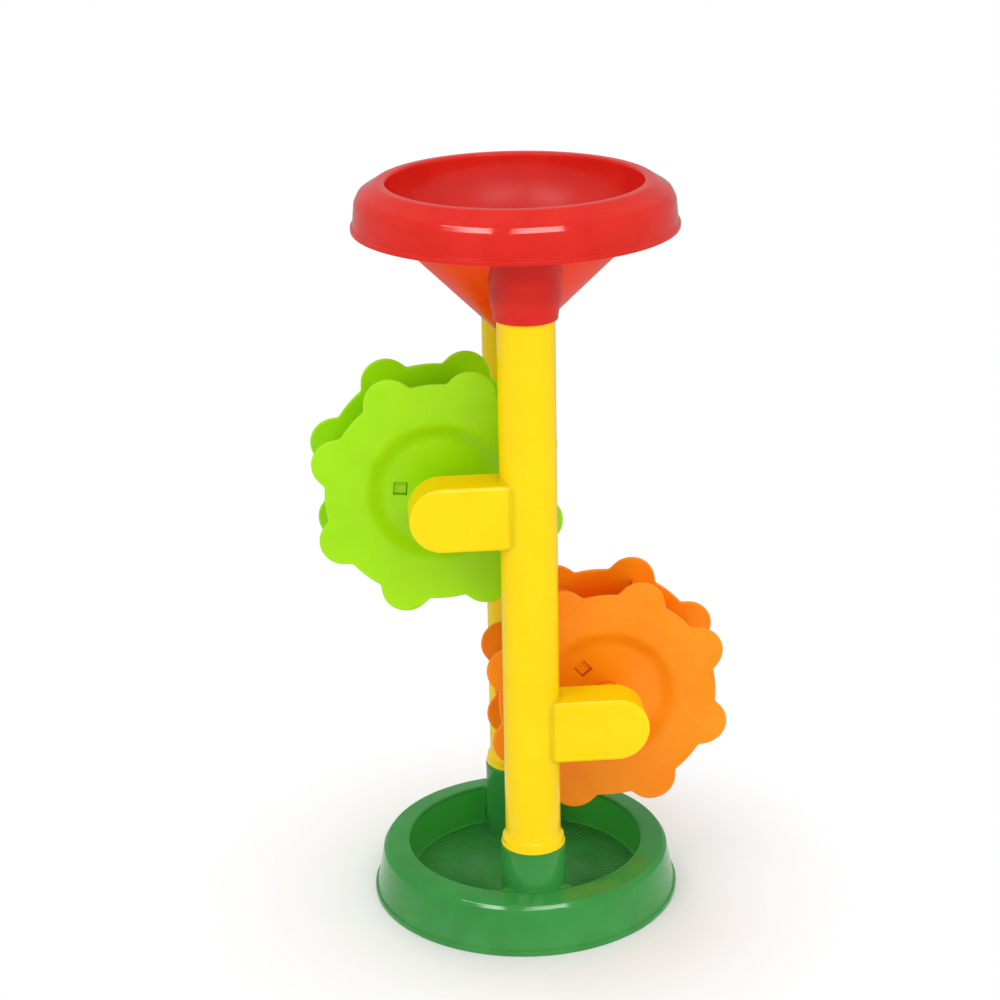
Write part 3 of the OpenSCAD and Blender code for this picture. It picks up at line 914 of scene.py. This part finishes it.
def socketWall(shell, s, side):
    # wall of a socket, upright outside the bowl, each strip ending inside the bowl's wall
    rings = []
    bore, mouthR, wide = s["socketBore"], s["socketR"], s["socketWide"]
    low, swell = s["socketLow"], s["socketSwell"]
    bevel, edge, nick = s["socketBevel"], s["socketEdge"], s["socketNick"]
    base, highest = s["roofTop"] - s["roofWall"], s["underCrown"] + 0.8
    rimR = s["bowlX"] + s["bowlR"]
    for turn in evenTurns(180):
        a = math.radians(turn)  # 0 is outwards
        planR = math.hypot(wide * math.sin(a), s["socketY"] + wide * math.cos(a))
        cut = bowlHeight(s, min(planR, rimR + s["wall"] / 2), s["wall"] / 2)
        top = highest if planR > rimR else min(max(cut, base), highest)
        profile = [(bore, low + bevel), (bore + bevel, low), (mouthR - edge, low),
                   (mouthR - nick, low + nick), (mouthR, low + edge)]
        for k in range(1, 9):
            share = k / 8
            profile.append((mouthR + (wide - mouthR) * ease(share),
                            low + edge + (swell - low - edge) * share))
        profile += [(wide, swell + (top - swell) * share) for share in (0.1, 0.35, 0.6, 0.85, 1.0)]
        for share in (1.0, 0.8, 0.6, 0.4, 0.2, 0.0):
            height = base + (top - base) * share
            across, along = s["socketY"] * math.sin(a), s["socketY"] * math.cos(a)
            reach = math.sqrt(max(bowlReach(s, height) ** 2 - across ** 2, 0)) - along
            profile.append((min(max(reach, bore), wide), height))
        profile += [(bore, base), (bore, swell)]
        rings.append([(side * r * math.sin(a), side * (s["socketY"] + r * math.cos(a)), z)
                      for r, z in profile])
    shell.rings(rings, loop=True)


def socketRoof(shell, s, side):
    # cap of a socket, which stands as a low hump inside the bowl
    top, wide = s["roofTop"], s["socketWide"]
    under, skirt = top - s["roofWall"], top - s["roofSkirt"]
    outer, inner = wide - hair / 2, wide - s["roofSide"]
    corners = [(0, under, 0), (inner, under, 0), (inner, skirt, 0),
               (outer, skirt, 0), (outer, top, 1.3), (0, top, 0)]
    turned(shell, soften(corners), (0, side * s["socketY"]), evenTurns(120))


def funnelIsThin(x, y, z):
    radius = math.hypot(x, y)
    return radius < hopper["thinR"] and z < bowlHeight(hopper, radius, hopper["wall"] / 2)


shell = Shell()
# marks the funnel's thin wall, where its glow is painted
shell.thinWhere = funnelIsThin
turned(shell, hopperProfile(hopper), turns=evenTurns(180))
shell.thinWhere = None
for side in (-1, 1):
    socketWall(shell, hopper, side)
    socketRoof(shell, hopper, side)
hopperPiece = shell.piece("hopper_moulding", redPlastic)
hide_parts("hopper_bowl")
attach(hopperPiece, "tower")
print("hopper made")


# Wheels: a lobed, dished disc on each side of eight bowed paddles

wheel = {
    "half": 19.0, "thick": 2.2, "dishDeep": 5.0, "dishIn": 26.4, "dishWidth": 10.8, "bore": 6.56,
    "boreBevel": 0.3, "meanR": 60.0, "rimRound": 0.9, "rimFlat": 1.4,
    "follow": ((44, 0.25), (50, 0.6), (55, 0.9)),  # radii, and how far each follows the lobes
    "hubR": 6.5, "hubEnd": 28.5, "collarR": 8.0, "collarGap": 0.1, "axleR": 3.08,
    "keyR": 18.5, "keyHalf": 3.25, "keyRound": 0.5, "keySunk": 2.05, "keyEdge": 0.25,
    "keyShoulder": 0.97,
}
discShape = {"Lobes": 8, "Lobe Circle": 0.05225, "Lobe Radius": 0.0125, "Disc": 0.056,
             "Blend": 0.0046, "Mean": 0.060, "Columns": 360, "Merge": 0.000002,
             "Window": 0.007, "Window Radius": 0.0185, "Window Angle": 0.0, "Window Depth": 0.05}
paddleShape = {"Count": 8, "Tip": 0.053, "Bow": 0.013, "Thick": 0.0018,
               "Wide": 0.0167, "Narrow": 0.0117, "Dish": 0.036, "Dish Floor": 0.027,
               "Rounding": 0.3, "Gap": 0.0002}
wheels = {  # turn and key in degrees
    "upper": {"turn": 26, "key": 149, "material": limePlastic, "slot": "lime_plastic"},
    "lower": {"turn": 26, "key": 104, "material": orangePlastic, "slot": "orange_plastic"},
}


def discProfile(s):
    # radius, share that follows the lobes, and height; the far face is +z
    def dish(radius, top):
        return top - s["dishDeep"] * (1 - ease((radius - s["dishIn"]) / s["dishWidth"]))

    half, low = s["half"], s["half"] - s["thick"]
    bore, bevel, q, rimR = s["bore"], s["boreBevel"], s["rimRound"], s["meanR"] - s["rimRound"]
    radii = [8, 14, 20, 24, *(25.5 + k for k in range(13)), 39]
    flat = [*s["follow"], (s["meanR"] - s["rimFlat"], 1)]
    line = [(bore, 0, dish(0, half) - bevel), (bore + bevel, 0, dish(0, half))]
    line += [(r, 0, dish(r, half)) for r in radii]
    line += [(r, share, half) for r, share in flat]
    line += [(rimR + q * h, 1, half - q + q * c) for c, h in quarterTurn(4)]
    line += [(rimR + q * c, 1, low + q - q * h) for c, h in quarterTurn(4)]
    line += [(r, share, low) for r, share in (flat[3], flat[1], flat[0])]
    line += [(r, 0, dish(r, low)) for r in reversed(radii)]
    return line + [(bore + bevel, 0, dish(0, low)), (bore, 0, dish(0, low) + bevel)]


def profileMesh(points):
    # carries the profile's rows to the tree, one point each
    mesh = bpy.data.meshes.new("profile")
    mesh.from_pydata([(mm * radius, share, mm * z) for radius, share, z in points], [], [])
    return mesh


def discTree(rows):
    g, put = newTree("lobed disc", discShape)
    columns = put["Columns"]
    grid = g.make("GeometryNodeMeshGrid", {}, float(rows), columns, rows + 1, columns + 1)
    gridX, gridY, _ = g.axes(position(g))
    row = (gridX + rows / 2 + 0.5).math("FLOOR").math("MODULO", rows)
    turn = (gridY / columns + 0.5) * (2 * math.pi)
    sample = g.make("GeometryNodeSampleIndex", {"data_type": "FLOAT_VECTOR", "domain": "POINT"},
                    Geometry=put["Geometry"], Value=position(g), Index=row)
    radius, follow, height = g.axes(g.out(sample))
    # outline: a round disc with eight round lobes, run into it by soft fillets
    step = (2 * math.pi) / put["Lobes"]
    off = (turn + step * 0.5).math("FLOORED_MODULO", step) - step * 0.5
    off = off.math("ABSOLUTE")
    sine = put["Lobe Circle"] * off.math("SINE")
    chord = (put["Lobe Radius"] * put["Lobe Radius"] - sine * sine).math("MAXIMUM", 0.0)
    lobe = put["Lobe Circle"] * off.math("COSINE") + chord.math("SQRT")
    outline = put["Disc"].math("SMOOTH_MAX", lobe, put["Blend"])
    reach = radius + follow * (outline - put["Mean"])
    shaped = placed(g, g.out(grid), reach * turn.math("COSINE"), reach * turn.math("SINE"), height)
    merged = g.make("GeometryNodeMergeByDistance", Geometry=shaped, Distance=put["Merge"])
    # square window for the key
    cutter = g.make("GeometryNodeMeshCube", {},
                    g.combined(put["Window"], put["Window"], put["Window Depth"]))
    angle = put["Window Angle"]
    spot = g.combined(put["Window Radius"] * angle.math("COSINE"),
                      put["Window Radius"] * angle.math("SINE"), 0.0)
    moved = g.make("GeometryNodeTransform", Geometry=g.out(cutter), Translation=spot,
                   Rotation=g.combined(0.0, 0.0, angle))
    cut = g.make("GeometryNodeMeshBoolean", {"operation": "DIFFERENCE", "solver": "EXACT"},
                 **{"Mesh 1": g.out(merged), "Mesh 2": g.out(moved)})
    return closeTree(g, g.out(cut), put["Material"])


def paddleTree():
    g, put = newTree("bowed paddles", paddleShape)
    bar, along, across, up = unitBar(g, 27, 5, 13)
    along = along + 0.5
    rounding = (across * 2) * (across * 2) * put["Thick"] * put["Rounding"]
    # the blade's middle line is an arc from the hub to the tip
    bowR = (put["Tip"] * put["Tip"] / 4 + put["Bow"] * put["Bow"]) / (put["Bow"] * 2)
    half = (put["Tip"] / 2 / bowR).math("ARCSINE")
    turn = half * (along * 2 - 1) - rounding * along / bowR
    away = bowR + across * put["Thick"]
    x = put["Tip"] / 2 + away * turn.math("SINE")
    y = bowR - put["Bow"] - away * turn.math("COSINE")
    reach = (x * x + y * y).math("SQRT")
    wide = g.span(reach, put["Dish Floor"], put["Dish"], 0.0, 1.0, "LINEAR")
    side = put["Narrow"] + (put["Wide"] - put["Narrow"]) * wide - rounding - put["Gap"]
    blades = aroundAxis(g, placed(g, bar, x, y, up * 2 * side), put["Count"])
    joined = g.make("GeometryNodeJoinGeometry")
    for geometry in (blades, put["Geometry"]):
        g.feed(joined.inputs[0], geometry)
    return closeTree(g, g.out(joined), put["Material"])


def hubMesh(s, key):
    shell = Shell()
    floor = s["half"] - s["dishDeep"]
    dish = floor - s["thick"] - s["collarGap"]
    hubR, collarR, axleR, hubEnd = s["hubR"], s["collarR"], s["axleR"], s["hubEnd"]
    corners = [(axleR, -hubEnd, 0.3), (hubR, -hubEnd, 0.6), (hubR, -dish, 0), (collarR, -dish, 0.3),
               (collarR, dish, 0.3), (hubR, dish, 0), (hubR, hubEnd, 0.6), (axleR, hubEnd, 0.3)]
    turned(shell, soften(corners), turns=evenTurns(72))
    # square key to the window of each disc
    q = s["keyHalf"]
    corners = ((-q, -q), (q, -q), (q, q), (-q, q))
    square = soften([(x, y, s["keyRound"]) for x, y in corners], guard=0)
    for side, angle in ((1, key), (-1, -(key + 180))):
        a = math.radians(angle)
        end = (floor - s["keySunk"]) * side
        rings = []
        for z, inset in ((0, 0), (end * s["keyShoulder"], 0), (end, s["keyEdge"])):
            small = 1 - inset / q
            spots = [(s["keyR"] + x * small, y * small) for x, y in square]
            rings.append([(u * math.cos(a) - v * math.sin(a), u * math.sin(a) + v * math.cos(a), z)
                          for u, v in spots])
        shell.block(rings)
    return shell.mesh("hub")


def setOnAxle(piece, name, back=False):
    # moves a piece from the wheel's own frame to its axle; the wheel's +z looks to the front
    spin = Matrix.Rotation(math.radians(wheels[name]["turn"]), 4, "Z")
    turn = Matrix.Rotation(math.radians(90), 4, "X") @ spin
    if back:
        turn = turn @ Matrix.Scale(-1, 4, (0, 0, 1))
    x, z = axles[name]
    piece.data.transform(Matrix.Translation((x * mm, 0, z * mm)) @ turn)
    if back:
        piece.data.flip_normals()


profilePoints = discProfile(wheel)
lobedDisc = discTree(len(profilePoints))
bowedPaddles = paddleTree()
for name, s in wheels.items():
    for face, extra in (("front", 0), ("back", 180)):
        values = {**discShape, "Window Angle": math.radians(s["key"] + extra)}
        piece = grown(f"{name}_{face}_disc", lobedDisc, values, s["material"],
                      profileMesh(profilePoints))
        setOnAxle(piece, name, face == "back")
        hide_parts(f"{name}_wheel_{face}_disc")
        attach(piece, f"{name}_wheel")
    hub = hubMesh(wheel, s["key"])
    piece = grown(f"{name}_paddles", bowedPaddles, paddleShape, s["material"], hub)
    setOnAxle(piece, name)
    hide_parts(f"{name}_wheel_paddles")
    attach(piece, f"{name}_wheel")
    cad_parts[f"{name}_axle"].material_slots[0].material = axlePlastic
print("wheels made")
